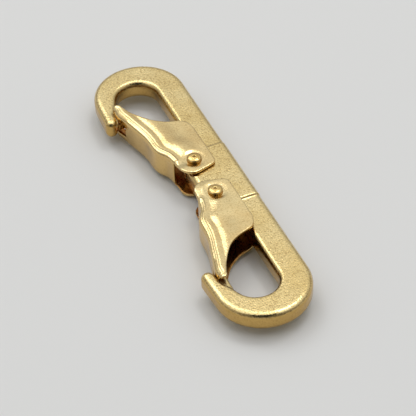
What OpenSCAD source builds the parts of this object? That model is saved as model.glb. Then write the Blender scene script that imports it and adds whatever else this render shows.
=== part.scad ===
// Double ended snap hook, cast brass body with two riveted sheet brass gates.
// The snap lies flat: X runs along it, +Y is the side that the gates are on,
// Z is the thickness. The origin is the middle of its bounding box.

/* [Body] */
// Length over both hook ends
overall_l = 100; // [85:0.5:125]
// Thickness through the flat faces of the hooks
body_t = 5; // [4:0.1:6.5]
// Width of the straight back
spine_w = 7.8; // [6:0.1:10]
// Width of the bar round the end of each hook
hook_w = 7.5; // [6:0.1:9]
// Radius of the round bow inside each hook
eye_r = 5.5; // [4.5:0.1:7]
// Round-over of the outer edges
edge_r = 0.8; // [0.3:0.05:1]

/* [Nose] */
// Depth of the nose, from the bow's opening to its outer edge
nose_w = 5.4; // [4.8:0.1:7]
// Angle by which the outer edge of the nose rises towards its tip
nose_rise = 3.4; // [0:0.1:6]
// Angle of the inner edge of the flat face, from the bow to the nose
nose_slope = 26; // [20:1:32]
// Depth of the full-thickness lip at the end of the nose
lip_w = 3.1; // [2.4:0.1:3.6]
// Reach of the lip from the centre of the end radius
lip_l = 9; // [8:0.1:10]
// Thickness of the tongue behind the lip
tongue_t = 2.5; // [1.8:0.1:3]
// Reach of the tongue from the centre of the end radius
tongue_l = 7.6; // [6:0.1:9]

/* [Middle] */
// Length of the raised pad on both faces of the middle
pad_l = 21.2; // [19:0.2:26]
// Height of the pad above the faces of the hooks
pad_h = 0.55; // [0.3:0.05:0.9]
// Distance from the middle of the snap to each rivet
rivet_x = 6.54; // [5.9:0.02:8]
// Distance from the outer edge of the back to the rivets
rivet_y = 10.2; // [9.6:0.1:10.6]
// Radius of the body round each rivet
lug_r = 2.85; // [2.6:0.05:3]

/* [Gates] */
// Thickness of the sheet
sheet_t = 0.8; // [0.5:0.05:1]
// Outer radius of the fold between the web and the side plates
fold_r = 1.2; // [1:0.05:1.6]
// Half the width of the side plates at the rivet
heel_w = 4.75; // [4.4:0.05:5.2]
// Reach of the side plates behind the rivet
heel_l = 4.7; // [4.2:0.1:5.2]
// Radius of their corner on the web's side
heel_r = 3.4; // [2.6:0.1:4]
// Radius of their corner on the back's side
heel_corner = 1.8; // [1:0.1:2]
// Width of the narrow tip of the side plates
tip_w = 2.2; // [1.7:0.1:2.6]
// Reach of the gate's tip from the centre of the end radius
tip_l = 3.7; // [3.2:0.1:4.6]
// Play between the side plates and the pad, on each face
side_play = 0.05; // [0.03:0.01:0.15]
// Gap between the shut gate and the underside of the lip
stop_gap = 0.08; // [0.05:0.01:0.3]
// Width that the web leaves open for the tongue
notch_w = 3.4; // [3.2:0.1:4.2]

/* [Rivets] */
// Diameter of the rivet shank
shank_d = 3; // [2.4:0.1:3.2]
// Running clearance of the gate on the shank, on the radius
pivot_play = 0.04; // [0.02:0.01:0.1]
// Diameter of the rivet head
head_d = 3.5; // [3.4:0.1:5]
// Height of the rivet head
head_h = 1; // [0.6:0.05:1.4]

/* [Springs] */
// Diameter of the spring wire
wire_d = 0.5; // [0.3:0.05:0.6]
// Number of turns of each torsion spring
turns = 3; // [2:1:3]

/* [Hidden] */
$fn = 96;
far = 40;

// The end radius takes in the back, the bow's opening and the nose.
corner_r = (spine_w + 2 * eye_r + nose_w) / 2;
corner_x = overall_l / 2 - corner_r;
eye_x = overall_l / 2 - hook_w - eye_r;
eye_y = spine_w + eye_r;
// The inside edges are rounded from the faces down to the tongue.
inner_r = (body_t - tongue_t) / 2;
// The lip ends in a half round; its crown is the widest point of the snap.
lip_r = lip_w / 2;
lip_c = [corner_x - (lip_l - lip_r) * cos(nose_rise) + (corner_r - lip_r) * sin(nose_rise),
         corner_r + (lip_l - lip_r) * sin(nose_rise) + (corner_r - lip_r) * cos(nose_rise)];
overall_w = lip_c[1] + lip_r;

pad_t = body_t + 2 * pad_h;
gate_in = pad_t + 2 * side_play;
gate_out = gate_in + 2 * sheet_t;
// The play that the nose has in the gate's tip, and the tongue in its notch
tip_play = 0.15;
notch_play = 2.2;
// Round-over of the pad and of the rivet heads, and play under the heads
pad_edge = 0.35;
head_edge = 0.5;
head_play = 0.05;
// The spring's coil has play round the shank and in its slot; one leg runs up to the web,
// the other lies along the back.
coil_play = 0.2;
coil_step = wire_d + 0.05;
coil_r = shank_d / 2 + coil_play + wire_d / 2;
slot_t = (turns + 1) * coil_step + 0.1;
slot_r = coil_r + wire_d / 2 + 0.25;
leg_play = 0.3;
back_leg = 3.9;

// Underside of the lip at a distance u from the centre of the end radius
function lip_under(u) = [corner_x - u * cos(nose_rise) + (corner_r - lip_w) * sin(nose_rise),
                         corner_r + u * sin(nose_rise) + (corner_r - lip_w) * cos(nose_rise)];

// Outlines and sections

function arc(c, r, a0, a1, n) = [for (i = [0:n]) let (a = a0 + (a1 - a0) * i / n)
    [c[0] + r * cos(a), c[1] + r * sin(a)]];

// A smooth curve through its control points, k steps to a span
function spline(p, k) = let (n = len(p)) concat(
    [for (i = [0:n - 2]) for (j = [0:k - 1]) let (
        t = j / k,
        a = p[max(i - 1, 0)], b = p[i], c = p[i + 1], d = p[min(i + 2, n - 1)])
        0.5 * (2 * b + (c - a) * t + (2 * a - 5 * b + 4 * c - d) * t * t
               + (3 * b - a - 3 * c + d) * t * t * t)],
    [p[n - 1]]);

// Section from a centre line out to a rounded edge: r outwards, thickness t
function edge_section(r, t, e, n = 5) = concat(
    [[0, -t / 2]], arc([r - e, -t / 2 + e], e, -90, 0, n),
    arc([r - e, t / 2 - e], e, 0, 90, n), [[0, t / 2]]);

// Section of a bar from y0 to y1 with edges rounded by e0 and e1
function bar_section(y0, y1, t, e0, e1, n = 5) = concat(
    e0 > 0 ? arc([y0 + e0, -t / 2 + e0], e0, 180, 270, n) : [[y0, -t / 2]],
    e1 > 0 ? concat(arc([y1 - e1, -t / 2 + e1], e1, -90, 0, n),
                    arc([y1 - e1, t / 2 - e1], e1, 0, 90, n)) : [[y1, -t / 2], [y1, t / 2]],
    e0 > 0 ? arc([y0 + e0, t / 2 - e0], e0, 90, 180, n) : [[y0, t / 2]]);

// Section of a cut that leaves a rounded edge beyond w; its floor is sunk a little below
// the face of the tongue
function edge_cut(w, n = 5) = let (z = tongue_t / 2, sink = 0.2, side = 0.03, core = 1) concat(
    [[core, z - sink], [w - side, z - sink]],
    [for (i = [1:n]) let (a = 180 - 90 * i / n)
        [w + inner_r + inner_r * cos(a), z + inner_r * sin(a)]],
    [[w + inner_r, body_t], [core, body_t]]);

module both_faces() {
    children();
    mirror([0, 0, 1]) children();
}

module both_ends() {
    children();
    mirror([1, 0, 0]) children();
}

// Draws its section along +X over a length l, the section's x turned to +Y
module along(l) {
    rotate([90, 0, 90]) linear_extrude(l) children();
}

// Body

// The end radius and the arm of the nose, solid in to the centre of the radius
module end_blank() {
    translate([corner_x, corner_r, 0]) {
        rotate([0, 0, -90]) rotate_extrude(angle = 180 - nose_rise)
            polygon(edge_section(corner_r, body_t, edge_r));
        rotate([0, 0, -nose_rise]) translate([-(lip_l - lip_r), 0, 0]) along(lip_l - lip_r)
            polygon(edge_section(corner_r, body_t, edge_r));
    }
}

// The straight back between the end radii
module back_blank() {
    translate([-corner_x, corner_r, 0]) mirror([0, 1, 0]) along(2 * corner_x)
        polygon(edge_section(corner_r, body_t, edge_r));
}

// The space inside one hook: a round-ended slot
module bow_space() {
    translate([0, 0, -body_t]) linear_extrude(2 * body_t) {
        translate([eye_x, eye_y]) circle(eye_r);
        translate([rivet_x, spine_w]) square([eye_x - rivet_x, 2 * eye_r]);
    }
}

// The space above the tongue, with rounded edges round the bow and along the back and
// the nose, where it stands in by a hair so that it crosses the round one
module face_space() {
    hair = 0.02;
    translate([eye_x, eye_y, 0]) {
        rotate_extrude() polygon(edge_cut(eye_r));
        translate([rivet_x - eye_x, 0, 0]) mirror([0, 1, 0]) along(eye_x - rivet_x)
            polygon(edge_cut(eye_r - hair));
        rotate([0, 0, -nose_slope]) translate([-lip_l - eye_r, 0, 0]) along(lip_l + eye_r)
            polygon(edge_cut(eye_r - hair));
    }
}

// The lip: a bar rounded on all its edges that ends in a half round
module lip() {
    e = min(edge_r, lip_r - 0.2);
    l = lip_l - lip_r;
    translate([corner_x, corner_r, 0]) rotate([0, 0, -nose_rise])
        translate([-l, corner_r - lip_r, 0]) {
            along(l - 0.5) polygon(bar_section(-lip_r, lip_r, body_t, e, e));
            rotate([0, 0, 90]) rotate_extrude(angle = 180)
                polygon(edge_section(lip_r, body_t, e));
        }
}

// The tongue behind the lip, which the shut gate closes over
module tongue() {
    r = 0.7;
    tip = [corner_x - tongue_l, eye_y + eye_r];
    root = corner_x - 1;
    translate([0, 0, -tongue_t / 2]) linear_extrude(tongue_t) polygon(concat(
        [[root, tip[1]], [root, lip_c[1]], [tip[0] + r, lip_c[1]], [tip[0], lip_c[1] - r]],
        arc(tip + [r, r], r, 180, 270, 8)));
}

// The middle: the raised pad across the back and the lugs that carry the rivets
module middle() {
    top = rivet_y + lug_r;
    translate([-rivet_x, 0, 0]) along(2 * rivet_x)
        polygon(bar_section(0, top, pad_t, edge_r, pad_edge));
    both_ends() {
        translate([rivet_x, 0, 0]) along(pad_l / 2 - rivet_x)
            polygon(bar_section(0, spine_w, pad_t, edge_r, 0));
        translate([rivet_x, rivet_y, 0]) {
            rotate_extrude(angle = 90) polygon(edge_section(lug_r, pad_t, pad_edge));
            rotate([0, 0, 180]) mirror([1, 0, 0]) rotate([90, 0, 0])
                translate([0, 0, -(rivet_y - spine_w)]) linear_extrude(rivet_y - spine_w)
                    polygon(edge_section(lug_r, pad_t, pad_edge));
        }
    }
}

// The bore for one rivet and the slot for its spring, open where the spring's legs pass
module rivet_seat() {
    translate([rivet_x, rivet_y, 0]) {
        cylinder(h = 2 * pad_t, d = shank_d, center = true);
        translate([0, 0, -slot_t / 2]) linear_extrude(slot_t) {
            circle(slot_r);
            translate([-shank_d / 4, 0]) square(2 * lug_r);
            translate([-back_leg - wire_d, coil_r - wire_d])
                square([back_leg + wire_d, 2 * wire_d]);
        }
    }
}

// The bar bent to two hooks, cut through inside them and thinned there from both faces
module bar() {
    difference() {
        union() {
            back_blank();
            both_ends() end_blank();
        }
        both_ends() {
            bow_space();
            both_faces() face_space();
        }
    }
}

module hook_body() {
    color("#C9AC6A") place() difference() {
        union() {
            bar();
            both_ends() {
                lip();
                tongue();
            }
            middle();
        }
        both_ends() rivet_seat();
    }
}

// Gates

// Centres of the two corners that the side plates have behind the rivet. The end between
// them leans, and heel_way points out of it.
heel_lean = 16;
heel_way = -[cos(heel_lean), sin(heel_lean)];
heel_c = [rivet_x - heel_l + heel_r, rivet_y + heel_w - heel_r];
back_y = rivet_y - heel_w + heel_corner;
back_c = [(heel_way * heel_c + heel_r - heel_corner - heel_way[1] * back_y) / heel_way[0], back_y];
// Where the heel's round runs into the web, in degrees
web_turn = 100;

// Outer line of the web, from the heel to the tip: each entry is how far along it lies and
// how far it stands off the straight line between its two ends.
web_form = [[0, 0], [0.14, -0.15], [0.21, -0.09], [0.257, 0.47], [0.307, 0.89], [0.374, 0.82],
            [0.473, 0.32], [0.575, 0.13], [0.69, 0.28], [0.796, 0.4], [0.888, 0.56],
            [0.935, 0.48], [1, 0]];
web_start = heel_c + heel_r * [cos(web_turn), sin(web_turn)];
// The web itself begins above the rivet
web_end = rivet_x + 0.2;
tip_r = tip_w / 2;
tip_top = lip_under(tip_l + tip_r) - stop_gap * [0, 1];
tip_c = tip_top - tip_r * [0, 1];
web_line = spline([for (f = web_form) web_start + (tip_top - web_start) * f[0] + [0, f[1]]], 4);
n_web = len(web_line);

// Where the nose gets thicker than the tongue, at the height of the gate's tip
nose_start = eye_x + (eye_r - (tip_top[1] - eye_y) * cos(nose_slope)) / sin(nose_slope);

// Edge of the side plates on the bow's side: fractions of the way along and across
plate_form = [[0.82, 0.875], [0.673, 0.663], [0.595, 0.44], [0.562, 0.26], [0.54, 0.14],
              [0.495, 0.055], [0.42, 0.005], [0.35, 0]];
plate_foot = rivet_y - heel_w;
plate_len = tip_c[0] + tip_r - rivet_x;
plate_top = tip_top[1] - tip_w;
plate_line = spline(concat([[tip_c[0] - 0.2, plate_top]],
    [for (f = plate_form) [rivet_x + plate_len * f[0],
                           plate_foot + (plate_top - plate_foot) * f[1]]]), 5);

function unit(v) = v / norm(v);

// Point i of the web's line drawn in towards the back by d
function drawn_in(i, d) = let (
    way = unit(web_line[min(i + 1, n_web - 1)] - web_line[max(i - 1, 0)]))
    web_line[i] - d * [-way[1], way[0]];

// Outline of the gate with the web drawn in by d, little by little from the heel on; the
// tip and the heel keep their arcs
function outline(d) = concat(
    [web_line[0]], [for (i = [1:n_web - 2]) drawn_in(i, d * min(1, i / 4))],
    arc(tip_c, tip_r, asin((tip_r - d) / tip_r), -75, 10), plate_line,
    arc(back_c, heel_corner, -90, heel_lean - 180, 8),
    arc(heel_c, heel_r, heel_lean - 180, web_turn - 353, 14));

// Triangles between points i and j of an outline, each time across the shorter way
function zip(p, i, j) = j - i < 2 ? []
    : norm(p[i + 1] - p[j]) < norm(p[i] - p[j - 1])
        ? concat([[i, i + 1, j]], zip(p, i + 1, j))
        : concat([[i, j - 1, j]], zip(p, i, j - 1));

// A solid skinned through equal rings of points; caps closes the first ring, and the last
module skin(rings, caps) {
    n = len(rings[0]);
    m = len(rings);
    polyhedron(
        points = [for (r = rings) each r],
        faces = concat(
            caps,
            [for (k = [0:m - 2]) for (i = [0:n - 1]) each let (
                a = k * n + i, b = k * n + (i + 1) % n, c = a + n, d = b + n)
                [[a, c, b], [b, c, d]]],
            [for (f = caps) [for (i = [len(f) - 1:-1:0]) (m - 1) * n + f[i]]]));
}

// The gate before it is hollowed: the plates' outline, rounded where the sheet is folded
module gate_shell() {
    h = gate_out / 2;
    fold = [for (k = [0:4]) let (a = 90 - 22.5 * k)
        [h - fold_r + fold_r * sin(a), fold_r * (1 - cos(a))]];
    levels = concat(fold, [for (k = [4:-1:0]) [-fold[k][0], fold[k][1]]]);
    flat = outline(fold_r);
    skin([for (l = levels) [for (p = outline(l[1])) [p[0], p[1], l[0]]]],
         zip(flat, 0, len(flat) - 1));
}

// The inside of the channel: open towards the back and at both ends of the web
module gate_space() {
    inner = [for (i = [1:n_web - 1]) if (web_line[i][0] > web_end) drawn_in(i, sheet_t)];
    last = inner[len(inner) - 1];
    translate([0, 0, -gate_in / 2]) linear_extrude(gate_in) polygon(concat(
        [[-far, far], [inner[0][0], far]], inner,
        [[far + tip_c[0], last[1]], [far + tip_c[0], -far], [-far, -far]]));
    // the notch that the tongue stands in
    translate([corner_x - tongue_l - notch_play, rivet_y, -notch_w / 2])
        cube([far, far, notch_w]);
    // and the room that the thick part of the nose takes at the tip
    translate([nose_start - tip_play, rivet_y, -gate_in / 2]) cube([far, far, gate_in]);
}

module gate() {
    place() difference() {
        gate_shell();
        gate_space();
        translate([rivet_x, rivet_y, 0])
            cylinder(h = 2 * gate_out, r = shank_d / 2 + pivot_play, center = true);
    }
}

module right_gate() {
    color("#CDB272") gate();
}

module left_gate() {
    color("#CDB272") mirror([1, 0, 0]) gate();
}

// Rivets

module rivet() {
    e = head_edge;
    z = gate_out / 2 + head_play;
    r = head_d / 2;
    dimple = [0.42, 0.22];
    half = concat(
        [[0, 0], [shank_d / 2, 0], [shank_d / 2, z], [r, z]],
        arc([r - e, z + head_h - e], e, 0, 90, 5),
        [[dimple[0], z + head_h], [0, z + head_h - dimple[1]]]);
    place() translate([rivet_x, rivet_y, 0]) both_faces()
        rotate_extrude() polygon(half);
}

module right_rivet() {
    color("#C2A15A") rivet();
}

module left_rivet() {
    color("#C2A15A") mirror([1, 0, 0]) rivet();
}

// Springs

// A round wire swept along a path of points
module wire(path, r, k = 8) {
    n = len(path);
    ring = function(i) let (
        d = unit(path[min(i + 1, n - 1)] - path[max(i - 1, 0)]),
        u = unit(cross(d, [0.01, 0, 1])), v = cross(d, u))
        [for (j = [0:k - 1]) path[i] + r * (cos(360 * j / k) * u + sin(360 * j / k) * v)];
    skin([for (i = [0:n - 1]) ring(i)], [[for (j = [0:k - 1]) j]]);
}

// The web's leg leaves the coil along its tangent and ends a little under the web's bulge
bulge = 18;
bear = drawn_in(bulge, sheet_t + wire_d / 2 + leg_play) - [rivet_x, rivet_y];
web_leg = sqrt(bear * bear - coil_r * coil_r);
web_leg_rise = atan2(bear[1], bear[0]) - asin(coil_r / norm(bear));

// A torsion spring: one leg lies in the body's slot, the other bears on the web
module spring() {
    m = 16;
    sweep = 360 * turns - web_leg_rise;
    rise = coil_step * sweep / 360;
    coil = [for (i = [0:m * turns]) let (t = i / (m * turns), a = 90 - sweep * t)
        [coil_r * cos(a), coil_r * sin(a), rise * (t - 0.5)]];
    start = coil[0];
    end = coil[m * turns];
    leg = [cos(web_leg_rise), sin(web_leg_rise), 0];
    place() translate([rivet_x, rivet_y, 0]) wire(concat(
        [start - [back_leg, 0, 0], start - [wire_d, 0, 0]], coil,
        [end + wire_d * leg, end + web_leg * leg]), wire_d / 2);
}

module right_spring() {
    color("#B9B7AE") spring();
}

module left_spring() {
    color("#B9B7AE") mirror([1, 0, 0]) spring();
}

module place() {
    translate([0, -overall_w / 2, 0]) children();
}

hook_body();
left_gate();
right_gate();
left_rivet();
right_rivet();
left_spring();
right_spring();
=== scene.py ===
# %% [markdown]
# # A double ended snap hook in cast and sheet brass
# The hook is one flat brass casting with a bow at each end. Two gates of folded sheet brass
# turn on rivets beside its middle. The engineering model already has every size right, so
# this file softens its edges, presses the folds of the gates, gives every surface its
# finish, and sets the studio light and the camera.

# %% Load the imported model
import math
import bpy
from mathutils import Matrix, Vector
from mathutils.kdtree import KDTree


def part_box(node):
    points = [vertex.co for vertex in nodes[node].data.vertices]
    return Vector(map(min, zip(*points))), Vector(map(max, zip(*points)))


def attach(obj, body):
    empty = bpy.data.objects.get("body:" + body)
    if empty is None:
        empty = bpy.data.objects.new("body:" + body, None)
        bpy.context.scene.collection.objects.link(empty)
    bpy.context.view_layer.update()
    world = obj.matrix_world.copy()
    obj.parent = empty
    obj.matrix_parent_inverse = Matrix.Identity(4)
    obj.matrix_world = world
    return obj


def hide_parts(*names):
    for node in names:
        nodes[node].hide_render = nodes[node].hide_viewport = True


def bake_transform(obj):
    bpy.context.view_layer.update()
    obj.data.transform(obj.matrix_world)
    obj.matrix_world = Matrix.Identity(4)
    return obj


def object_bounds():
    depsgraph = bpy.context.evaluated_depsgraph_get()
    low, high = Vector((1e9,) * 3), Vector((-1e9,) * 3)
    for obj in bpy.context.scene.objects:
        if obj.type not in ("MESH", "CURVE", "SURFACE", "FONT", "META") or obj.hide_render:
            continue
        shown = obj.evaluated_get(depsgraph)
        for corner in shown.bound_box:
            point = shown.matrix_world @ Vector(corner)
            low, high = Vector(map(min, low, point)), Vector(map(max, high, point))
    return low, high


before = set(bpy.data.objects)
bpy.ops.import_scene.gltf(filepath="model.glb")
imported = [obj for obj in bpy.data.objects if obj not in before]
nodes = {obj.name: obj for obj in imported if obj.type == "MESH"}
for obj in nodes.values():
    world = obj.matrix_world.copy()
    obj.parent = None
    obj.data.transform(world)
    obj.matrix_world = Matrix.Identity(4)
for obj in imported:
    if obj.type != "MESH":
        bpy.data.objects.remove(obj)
cad_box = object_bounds()
MM = 0.001
print("pieces:", ", ".join(sorted(nodes)))

# %% [markdown]
# ## The camera
# The photograph looks down at about 43 degrees along the length of the hook, with a long
# lens from about half a metre away. The camera is placed on a sphere around a point near
# the middle of the hook and turned a little about its own line of sight.

# %% Place the camera
LOOK_AT = Vector((-7.5, 0.4, 0)) * MM
DISTANCE = 491.1 * MM
AZIMUTH, ELEVATION, ROLL = 158.28, 42.94, -2.73
LENS, SENSOR_WIDTH = 172.68, 36


def from_angles(azimuth, elevation):
    a, e = math.radians(azimuth), math.radians(elevation)
    return Vector((math.cos(e) * math.cos(a), math.cos(e) * math.sin(a), math.sin(e)))


camera_data = bpy.data.cameras.new("camera")
camera_data.lens = LENS
camera_data.sensor_width = SENSOR_WIDTH
camera_data.sensor_fit = "HORIZONTAL"
camera = bpy.data.objects.new("camera", camera_data)
bpy.context.scene.collection.objects.link(camera)
away = from_angles(AZIMUTH, ELEVATION)
camera.location = LOOK_AT + DISTANCE * away
turn = away.to_track_quat("Z", "Y").to_euler()
turn.rotate_axis("Z", math.radians(ROLL))
camera.rotation_euler = turn
bpy.context.scene.camera = camera
print("camera at", [round(c, 3) for c in camera.location])

# %% [markdown]
# ## Colours and nodes
# Colours are picked as they look on a screen, and the renderer works in linear
# light, so one function turns them by the sRGB curve. A second one adds a shader node, sets
# its values and joins its inputs to what feeds them.

# %% Helpers for materials


def linear(code):
    parts = [int(code[i:i + 2], 16) / 255 for i in (1, 3, 5)]
    return [c / 12.92 if c <= 0.04045 else ((c + 0.055) / 1.055) ** 2.4 for c in parts] + [1]


def add_node(tree, kind, settings=(), links=()):
    node = tree.nodes.new("ShaderNode" + kind)
    for name, value in dict(settings).items():
        if isinstance(name, str) and hasattr(node, name):
            setattr(node, name, value)
        else:
            node.inputs[name].default_value = value
    for name, socket in dict(links).items():
        tree.links.new(socket, node.inputs[name])
    return node


print("the screen's mid grey is", round(linear("#808080")[0], 3), "in linear light")

# %% [markdown]
# ## Bare metal
# Metal colours what it reflects, so all of its look comes from base colour, roughness and
# the bump of its surface. Four tones are mixed: the clean metal, the duller tone of its
# patches, a deeper, darker tone on the walls, which is painted shade and painted reflection
# of the shaded floor, and the dark of the pits. The bump has two sizes, a fine grain and slow
# waves, which break up the reflections as on the real pieces. The real grain is finer than the
# picture can show, so it is drawn 0.3 to 0.5 mm wide. Grain and wave are each given as a width
# and a depth in millimetres.

# %% A metal with grain and waves
# The tone drifts over patches of this width, from clean to dull as their noise rises
PATCH_MM = 9
PATCH_FROM, PATCH_FULL = 0.35, 0.7
# How upright the surface's normal is: above FLAT it is a face, and below WALL it is a wall, which
# takes the painted wall shade in full
FLAT, WALL = 0.8, 0.3
# A pit starts where the grain falls below PIT_EDGE, and is darkest at PIT_FLOOR
PIT_EDGE, PIT_FLOOR = 0.5, 0.34
# Where the grain is low the metal is this much smoother, and where it is high this much rougher
GRAIN_LOW, GRAIN_HIGH = 0.3, 0.7
SMOOTHER, ROUGHER = 0.05, 0.06
# A mix node's two colours and its result are known by their numbers
COLOUR_A, COLOUR_B, MIXED = 6, 7, 2


def metal(name, colours, roughness, speck, grain, wave):
    grain_mm, grain_depth = grain
    wave_mm, wave_depth = wave
    # side is painted shade: a deeper, darker tone for the walls, standing in for the shaded floor
    # they reflect
    clean, dull, side, dark = [linear(code) for code in colours]
    material = bpy.data.materials.new(name)
    material.use_nodes = True
    tree = material.node_tree
    tree.nodes.clear()
    coordinates = add_node(tree, "TexCoord")
    place = coordinates.outputs["Object"]
    fine = add_node(tree, "TexNoise", {"Scale": 1 / (grain_mm * MM), "Detail": 3.0},
                    {"Vector": place})
    slow = add_node(tree, "TexNoise", {"Scale": 1 / (wave_mm * MM), "Detail": 1.0},
                    {"Vector": place})
    patch = add_node(tree, "TexNoise", {"Scale": 1 / (PATCH_MM * MM), "Detail": 4.0,
                                        "Roughness": 0.6}, {"Vector": place})
    spread = add_node(tree, "MapRange", {"From Min": PATCH_FROM, "From Max": PATCH_FULL},
                      {"Value": patch.outputs["Fac"]})
    tint = add_node(tree, "Mix", {"data_type": "RGBA", COLOUR_A: clean, COLOUR_B: dull},
                    {"Factor": spread.outputs["Result"]})
    # painted shade: the walls get a deeper, darker yellow that stands in for the shaded floor they
    # reflect
    up = add_node(tree, "SeparateXYZ", (), {"Vector": coordinates.outputs["Normal"]}).outputs["Z"]
    steep = add_node(tree, "Math", {"operation": "ABSOLUTE"}, {0: up}).outputs["Value"]
    painted_wall_shade = add_node(tree, "MapRange", {"From Min": FLAT, "From Max": WALL}, {"Value": steep})
    shaded_walls = add_node(tree, "Mix", {"data_type": "RGBA", COLOUR_B: side},
                      {"Factor": painted_wall_shade.outputs["Result"], COLOUR_A: tint.outputs[MIXED]})
    pits = add_node(tree, "MapRange", {"From Min": PIT_EDGE, "From Max": PIT_FLOOR, "To Max": speck},
                    {"Value": fine.outputs["Fac"]})
    skin = add_node(tree, "Mix", {"data_type": "RGBA", COLOUR_B: dark},
                    {"Factor": pits.outputs["Result"], COLOUR_A: shaded_walls.outputs[MIXED]})
    rough = add_node(tree, "MapRange", {"From Min": GRAIN_LOW, "From Max": GRAIN_HIGH,
                                        "To Min": roughness - SMOOTHER,
                                        "To Max": roughness + ROUGHER},
                     {"Value": fine.outputs["Fac"]})
    waves = add_node(tree, "Bump", {"Distance": wave_depth * MM, "Strength": 1.0},
                     {"Height": slow.outputs["Fac"]})
    bump = add_node(tree, "Bump", {"Distance": grain_depth * MM, "Strength": 1.0},
                    {"Height": fine.outputs["Fac"], "Normal": waves.outputs["Normal"]})
    shader = add_node(tree, "BsdfPrincipled", {"Metallic": 1.0},
                      {"Base Color": skin.outputs[MIXED], "Roughness": rough.outputs["Result"],
                       "Normal": bump.outputs["Normal"]})
    add_node(tree, "OutputMaterial", (), {"Surface": shader.outputs["BSDF"]})
    print(name, "made")
    return material


METALS = {}

# %% [markdown]
# ## Four finishes of brass and one of steel
# The casting was tumbled until it was satin, and keeps the grain of its mould. The gates
# were stamped from rolled sheet, which is smoother, and tumbled too. A hammer polished the
# rivets' heads. The springs sit inside, and show best when a gate is open.

# %% Make the metals
# In each tuple the third tone is painted shade and painted reflection for the walls
# Cast brass, tumbled: satin, with many small pits that keep the grain of the mould
CAST = ("#EDD89F", "#E1C788", "#CCA864", "#A9874C")
METALS["cast_brass"] = metal("tumbled cast brass", CAST, roughness=0.17, speck=0.55,
                             grain=(0.4, 0.07), wave=(7, 0.13))

# Rolled sheet brass, tumbled: smoother than the casting, with long waves from the press
SHEET = ("#EEDAA4", "#E2C68C", "#DCBB7C", "#B08D52")
METALS["sheet_brass"] = metal("tumbled sheet brass", SHEET, roughness=0.16, speck=0.35,
                              grain=(0.4, 0.035), wave=(8, 0.26))

# Brass wire, hammered over: the brightest highlights, in a slightly redder brass
RIVET = ("#E6C986", "#D2AE69", "#C49A54", "#9C7840")
METALS["rivet_brass"] = metal("peened brass rivet", RIVET, roughness=0.14, speck=0.5,
                              grain=(0.4, 0.05), wave=(2, 0.06))

# The inside of the sheet: darker, browner and duller, painted shade and painted warm reflection for
# the hollow of the channel
SHADED_INSIDE = ("#B78648", "#93602F", "#93602F", "#6A4022")
shaded_inside_brass = metal("dull inside of the sheet", SHADED_INSIDE, roughness=0.3, speck=0.4,
                     grain=(0.5, 0.02), wave=(4, 0.05))

# Drawn steel wire: plain grey, with a faint sheen
STEEL = ("#B4B2AC", "#8F8D88", "#8F8D88", "#6E6C68")
METALS["spring_steel"] = metal("drawn spring steel", STEEL, roughness=0.35, speck=0.3,
                               grain=(0.3, 0.01), wave=(2, 0.02))

# %% [markdown]
# ## From drawing to metal
# The engineering model has crisp edges. Real pieces left the mould or the press with every
# edge a little soft, and tumbling rounded them further. So each piece is copied, rebuilt
# as one even skin of squares, 0.09 to 0.22 mm wide, and relaxed a few times, which rounds
# its edges by a fraction of a millimetre and leaves its size alone. A smaller piece gets
# smaller squares. The copy then stands for the piece.

# %% A softened copy of a piece
# Corners nearer to each other than this are one corner
MERGE = 0.002 * MM
RELAX_FACTOR = 0.5


def relax(piece, rounds):
    bpy.context.view_layer.objects.active = piece
    modifier = piece.modifiers.new("relax", "SMOOTH")
    modifier.factor, modifier.iterations = RELAX_FACTOR, rounds
    bpy.ops.object.modifier_apply(modifier=modifier.name)


def softened(name, body, square, rounds, slot):
    bpy.ops.object.select_all(action="DESELECT")
    bpy.context.view_layer.objects.active = nodes[name]
    nodes[name].select_set(True)
    bpy.ops.object.duplicate()
    piece = bpy.context.object
    piece.name = name + "_metal"
    piece.parent = None
    piece.matrix_world.identity()
    bpy.ops.object.mode_set(mode="EDIT")
    bpy.ops.mesh.select_all(action="SELECT")
    bpy.ops.mesh.remove_doubles(threshold=MERGE)
    bpy.ops.object.mode_set(mode="OBJECT")
    skin = piece.modifiers.new("skin", "REMESH")
    skin.mode = "VOXEL"
    skin.voxel_size = square * MM
    bpy.ops.object.modifier_apply(modifier=skin.name)
    relax(piece, rounds)
    bpy.ops.object.shade_smooth()
    piece.data.materials.clear()
    piece.data.materials.append(METALS[slot])
    if body:
        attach(piece, body)
    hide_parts(name)
    print(piece.name, len(piece.data.polygons), "faces")
    return piece


body = softened("hook_body", "frame", square=0.22, rounds=2, slot="cast_brass")

# %% [markdown]
# ## Rounded edges of the casting
# The casting's faces roll over into its walls along an edge more than a millimetre wide,
# which shows as a bright band with a thin dark line. Inside the bows, where a tumbling stone
# hardly reaches, the edge is tighter. Near a wall the copy is made thinner along a quarter
# circle, so the outline seen from above stays as it was.

# %% Round the body
OUTER_WIDTH, OUTER_DEPTH = 1.7, 1.2
INNER_WIDTH, INNER_DEPTH = 0.9, 0.75
# Wall vertices are this near the middle plane of the hook
WALL_BAND = 1.0
# A wall that looks at the middle of its bow is an inner one
LOOKS_OUT, LOOKS_IN = -0.3, 0.5


def smooth_step(low, high, value):
    t = min(1, max(0, (value - low) / (high - low)))
    return t * t * (3 - 2 * t)


def mix(a, b, share):
    return a + (b - a) * share


def plan_tree(points):
    tree = KDTree(len(points))
    for i, co in enumerate(points):
        tree.insert((co.x, co.y, 0), i)
    tree.balance()
    return tree


low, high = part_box("hook_body")
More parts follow.
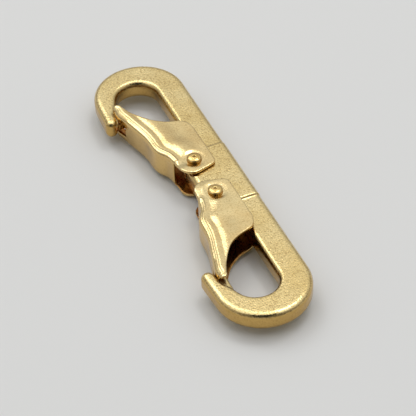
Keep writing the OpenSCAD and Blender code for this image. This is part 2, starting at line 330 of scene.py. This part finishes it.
# The middle of a bow lies half the hook's width from its end
bow_x = high[0] - high[1]
half = max(v.co.z for v in body.data.vertices) / MM
walls = [v for v in body.data.vertices if abs(v.co.z) < WALL_BAND * MM]
inside = []
for v in walls:
    to_bow = Vector((math.copysign(bow_x, v.co.x) - v.co.x, -v.co.y, 0)).normalized()
    inside.append(smooth_step(LOOKS_OUT, LOOKS_IN, to_bow.dot(v.normal)))
wall_tree = plan_tree([v.co for v in walls])
for vertex in body.data.vertices:
    i, distance = wall_tree.find((vertex.co.x, vertex.co.y, 0))[1:]
    width = mix(OUTER_WIDTH, INNER_WIDTH, inside[i])
    depth = mix(OUTER_DEPTH, INNER_DEPTH, inside[i])
    inward = min(1, distance / MM / width)
    drop = 1 - math.sqrt(1 - (1 - inward) ** 2)
    vertex.co.z *= 1 - depth / half * drop
print("body rounded, half its thickness is", round(half, 2), "mm")

# %% [markdown]
# ## The rivets
# Each rivet was hammered over its plate. The blow spread its head a little, left it domed,
# and its punch left a small dimple in the middle. The copy's head is widened, lowered
# towards its rim and pressed in at its middle, and the shank inside stays as drawn.

# %% Head the rivets
# A head keeps its drawn foot as far as FOOT over the plate's outer face
FOOT = 0.2
foot_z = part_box("left_gate")[1][2] / MM + FOOT
# Above its foot the head is spread to HEAD_SPREAD times its width, and at HEAD_R it has lost
# the share DOME of its height
HEAD_SPREAD, HEAD_R, DOME = 1.08, 1.9, 0.35
DIMPLE_R, DIMPLE_DEPTH = 0.42, 0.38
# What lies less than this above the foot sinks less, so that the dimple ends in the head
DIMPLE_FLOOR = 0.5


def rivet_axis(side):
    low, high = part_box(side + "_rivet")
    return Vector(((low[0] + high[0]) / 2, (low[1] + high[1]) / 2, 0))


for side in ("left", "right"):
    rivet = softened(side + "_rivet", "frame", square=0.1, rounds=3, slot="rivet_brass")
    axis = rivet_axis(side)
    for vertex in rivet.data.vertices:
        above = abs(vertex.co.z) / MM - foot_z
        if above > 0:
            plan = HEAD_SPREAD * (Vector((vertex.co.x, vertex.co.y, 0)) - axis)
            out = plan.length / MM
            above *= 1 - DOME * min(1, out / HEAD_R) ** 2
            above -= DIMPLE_DEPTH * max(0, 1 - out / DIMPLE_R) * min(1, above / DIMPLE_FLOOR)
            height = math.copysign((foot_z + above) * MM, vertex.co.z)
            vertex.co = (axis.x + plan.x, axis.y + plan.y, height)
    print(rivet.name, "headed from", round(foot_z, 2), "mm up")

# %% [markdown]
# ## The pressed gates
# A gate is blanked from sheet and folded over a wavy former. The press leaves a raised
# bead along the fold with a shallow groove beside it, a soft swelling behind that, and a
# dished seat round the rivet. Both faces of the sheet follow, because its thickness stays.

# %% Press the gates
# Distance from the web and height over the flat plate, both in mm
PRESSED = [(0.0, 0.0), (0.45, 0.12), (1.0, -0.14), (4.2, 0.24), (8.0, 0.0)]
# The sheet stays down as far as SEAT_IN from the rivet's axis, has risen by SEAT_RISE at
# SEAT_OUT, and sinks back from FADE_IN to FADE_OUT
SEAT_IN, SEAT_OUT, SEAT_RISE = 2.2, 3.6, 0.1
FADE_IN, FADE_OUT = 6, 13
# Web vertices are this near the middle plane
WEB_BAND = 2.2
# What lies less than PLATE_FULL below the outer face is plate, and nothing is that lies more
# than PLATE_NONE below it
PLATE_FULL, PLATE_NONE = 0.9, 1.5
PRESS_ROUNDS = 5


def pressed_height(distance):
    for (d0, h0), (d1, h1) in zip(PRESSED, PRESSED[1:]):
        if distance < d1:
            return h0 + (h1 - h0) * smooth_step(d0, d1, distance)
    return 0


def press(gate, axis, half):
    web = plan_tree([v.co for v in gate.data.vertices if abs(v.co.z) < WEB_BAND * MM])
    for vertex in gate.data.vertices:
        flat = Vector((vertex.co.x, vertex.co.y, 0))
        plate = smooth_step(half - PLATE_NONE * MM, half - PLATE_FULL * MM, abs(vertex.co.z))
        from_web = web.find(flat)[2] / MM
        from_rivet = (flat - axis).length / MM
        seat = smooth_step(SEAT_IN, SEAT_OUT, from_rivet)
        fade = 1 - smooth_step(FADE_IN, FADE_OUT, from_rivet)
        rise = seat * (pressed_height(from_web) + SEAT_RISE * fade)
        vertex.co.z += math.copysign(rise * plate * MM, vertex.co.z)
    relax(gate, PRESS_ROUNDS)


gates = {}
for side in ("left", "right"):
    gate = softened(side + "_gate", side + "_gate", square=0.16, rounds=3, slot="sheet_brass")
    half = max(v.co.z for v in gate.data.vertices)
    press(gate, rivet_axis(side), half)
    gates[side] = gate, half
    print(gate.name, "pressed, half its width is", round(half / MM, 2), "mm")

# %% [markdown]
# ## Painted shade inside the gates
# The inside of a gate is painted darker and browner: painted shade and painted warm reflection
# for the hollow of its channel. The faces of the plates that look at the middle plane, and those
# of the web that look towards the spine of the hook, get this painted shade in a duller brass.

# %% Paint shade into the gates' insides
# How squarely a face has to look inwards to count
PLATE_FACING, WEB_FACING = 0.6, 0.3
# The web ends this far inside the plates' outer faces
WEB_END = 1.2

for side, (gate, half) in gates.items():
    gate.data.materials.append(shaded_inside_brass)
    web_ys = [v.co.y for v in gate.data.vertices if abs(v.co.z) < MM]
    spine = math.copysign(1, rivet_axis(side).y - sum(web_ys) / len(web_ys))
    for face in gate.data.polygons:
        z = face.center.z
        plate_inside = z * face.normal.z < -PLATE_FACING * abs(z)
        web_inside = abs(z) < half - WEB_END * MM and spine * face.normal.y > WEB_FACING
        # the inner faces get the material with the painted shade
        face.material_index = int(plate_inside or web_inside)
    dull = sum(face.material_index for face in gate.data.polygons)
    print(gate.name, dull, "faces of", len(gate.data.polygons), "are inside")

# %% [markdown]
# ## The springs
# Each torsion spring is drawn steel wire. Its coil and short leg sit in the casting, and its
# long leg bears on the web. Its softened copy stays where it was drawn.

for side, outward in (("left", -1), ("right", 1)):
    spring = softened(side + "_spring", None, square=0.09, rounds=2, slot="spring_steel")
    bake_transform(spring)

# %% [markdown]
# ## The floor
# The floor is a sheet of pale grey paper, far larger than the picture. Paper is rough all
# over, so it takes a soft shadow and no reflection.

# %% Lay the floor
# In metres
FLOOR_SIZE = 6
FLOOR_Z = cad_box[0][2]
bpy.ops.object.select_all(action="DESELECT")
bpy.ops.mesh.primitive_plane_add(size=FLOOR_SIZE, location=(0, 0, FLOOR_Z))
floor = bpy.context.object
floor.name = "floor"
# Uncoated paper, rolled in the mill: matt all over, and a neutral grey that is nearly white
paper = bpy.data.materials.new("pale grey paper")
paper.use_nodes = True
paper_shader = paper.node_tree.nodes["Principled BSDF"]
paper_shader.inputs["Base Color"].default_value = linear("#DBDCDC")
paper_shader.inputs["Roughness"].default_value = 0.9
floor.data.materials.append(paper)
print("floor at", round(FLOOR_Z / MM, 2), "mm")

# %% [markdown]
# ## The light tent
# The hook stands in a tent of white cloth, because polished brass shows nothing but what
# stands round it. The cloth is dim at the horizon and bright overhead, shaded on the
# camera's side, and dark in the opening for the camera itself. That dark gives the rounded
# edges their thin line. The tent is drawn in the world's own material, by direction.

# %% Hang the tent
TENT_SIDE, TENT_TOP, NEAR_CAMERA, OPENING = 0.38, 1.4, 0.5, 0.02
# The cloth brightens from this height on, as the sine of the angle, and steeper towards the top
CLIMB_FROM, CLIMB_POWER = 0.1, 1.6
# The shade and the opening begin and are full at these cosines of the angle from the camera's
# side and from the camera
SHADE_FROM, SHADE_FULL = 0.3, 0.7
OPENING_FROM, OPENING_FULL = 0.86, 0.95

world = bpy.data.worlds.new("light tent")
bpy.context.scene.world = world
world.use_nodes = True
tree = world.node_tree
way = add_node(tree, "TexCoord").outputs["Generated"]
height = add_node(tree, "SeparateXYZ", (), {"Vector": way}).outputs["Z"]
climb = add_node(tree, "MapRange", {"From Min": CLIMB_FROM}, {"Value": height}).outputs["Result"]
steep = add_node(tree, "Math", {"operation": "POWER", 1: CLIMB_POWER}, {0: climb})
overhead = add_node(tree, "MapRange", {"To Min": TENT_SIDE, "To Max": TENT_TOP},
                    {"Value": steep.outputs["Value"]})
camera_side = Vector((away.x, away.y, 0)).normalized()
toward = add_node(tree, "VectorMath", {"operation": "DOT_PRODUCT", 1: camera_side}, {0: way})
shade = add_node(tree, "MapRange", {"interpolation_type": "SMOOTHSTEP", "From Min": SHADE_FROM,
                                    "From Max": SHADE_FULL, "To Min": 1.0,
                                    "To Max": NEAR_CAMERA},
                 {"Value": toward.outputs["Value"]})
facing = add_node(tree, "VectorMath", {"operation": "DOT_PRODUCT", 1: away}, {0: way})
closed = add_node(tree, "MapRange", {"interpolation_type": "SMOOTHSTEP",
                                     "From Min": OPENING_FROM, "From Max": OPENING_FULL,
                                     "To Min": 1.0, "To Max": OPENING},
                  {"Value": facing.outputs["Value"]})
cloth = add_node(tree, "Math", {"operation": "MULTIPLY"},
                 {0: overhead.outputs["Result"], 1: shade.outputs["Result"]})
tent = add_node(tree, "Math", {"operation": "MULTIPLY"},
                {0: cloth.outputs["Value"], 1: closed.outputs["Result"]})
sky = tree.nodes["Background"]
sky.inputs["Color"].default_value = linear("#FDFCFA")
tree.links.new(tent.outputs["Value"], sky.inputs["Strength"])
print("tent hung, opening towards", [round(c, 2) for c in away])

# %% [markdown]
# ## The lamps
# Two lamps hang beyond the hook, as the camera sees it: a small one high on the right and a
# larger, softer one on the left. They put the bright lines on the edges and folds.

# %% Place the lamps
# Distance and sizes are in metres
LAMP_DISTANCE = 1.2


def soft_light(name, azimuth, elevation, size, power):
    data = bpy.data.lights.new(name, "AREA")
    data.shape = "RECTANGLE"
    data.size, data.size_y = size
    data.energy = power
    light = bpy.data.objects.new(name, data)
    bpy.context.scene.collection.objects.link(light)
    toward = from_angles(azimuth, elevation)
    light.location = LAMP_DISTANCE * toward
    light.rotation_euler = toward.to_track_quat("Z", "Y").to_euler()
    print(name, power, "W")


soft_light("roof lamp", azimuth=-60, elevation=68, size=(0.35, 0.25), power=1.6)
soft_light("left softbox", azimuth=12, elevation=54, size=(0.5, 0.5), power=1.7)

# %% [markdown]
# ## The view
# The standard view shows every colour as it was picked.

# %% Finish
view = bpy.context.scene.view_settings
view.view_transform = "Standard"
